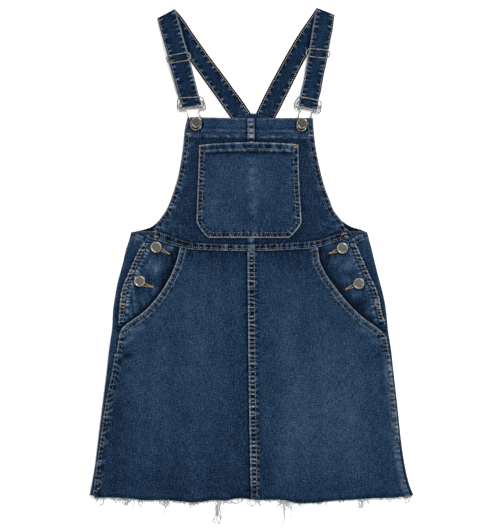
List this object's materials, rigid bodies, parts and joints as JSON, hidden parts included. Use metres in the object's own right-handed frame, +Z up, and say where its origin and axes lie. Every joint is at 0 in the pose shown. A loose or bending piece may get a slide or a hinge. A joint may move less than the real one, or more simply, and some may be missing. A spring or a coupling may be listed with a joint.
{
  "type": "denim overall skirt",
  "caption": "Denim overall skirt laid flat: bib with patch pocket, crossed back straps on wire hooks, buttoned side plackets, curved hip pockets and a raw frayed hem.",
  "frame": {"origin": "centre of the garment's bounding box at the surface it lies on", "axes": "+Z up out of the front of the garment, +Y from the hem to the straps, +X to the viewer's right across the garment"},
  "size_m": [0.4859, 0.7748, 0.009],
  "materials": {
    "denim_bib": "washed dark indigo twill, worn along folds and seams",
    "denim_pocket": "washed dark indigo twill with pale worn edges",
    "denim_skirt": "washed mid indigo stretch twill, mottled, faded in the middle of the panels",
    "denim_hip": "washed mid indigo twill",
    "denim_seam": "felled and hemmed edges, puckered, worn pale between brown stitching",
    "denim_strap": "dark indigo twill, two layers, edge stitched",
    "nickel_wire": "satin nickel-plated bent wire",
    "bib_button_metal": "antique metal with a beaded rim and a dark sunk centre",
    "side_button_metal": "antique metal with a beaded rim and a grey centre",
    "frayed_yarn": "loose white and pale blue cotton yarn ends"
  },
  "bodies": {
    "root": {"back_skirt": "denim_skirt", "back_bib": "denim_bib", "bib_left": "denim_bib", "bib_right": "denim_bib", "bib_pocket": "denim_pocket", "bib_centre_seam": "denim_seam", "waist_seam": "denim_seam", "skirt_front_left": "denim_skirt", "skirt_front_right": "denim_skirt", "skirt_centre_seam": "denim_seam", "hip_yoke_left": "denim_hip", "hip_yoke_right": "denim_hip", "side_placket_left": "denim_seam", "side_placket_right": "denim_seam", "side_seam_left": "denim_seam", "side_seam_right": "denim_seam", "strap_left": "denim_strap", "strap_right": "denim_strap", "slider_left": "nickel_wire", "slider_right": "nickel_wire", "buckle_bar_left": "nickel_wire", "buckle_bar_right": "nickel_wire", "buckle_hook_left": "nickel_wire", "buckle_hook_right": "nickel_wire", "bib_button_left": "bib_button_metal", "bib_button_right": "bib_button_metal", "side_button_left_upper": "side_button_metal", "side_button_left_lower": "side_button_metal", "side_button_right_upper": "side_button_metal", "side_button_right_lower": "side_button_metal", "hem_fringe": "frayed_yarn"}
  },
  "joints": []
}
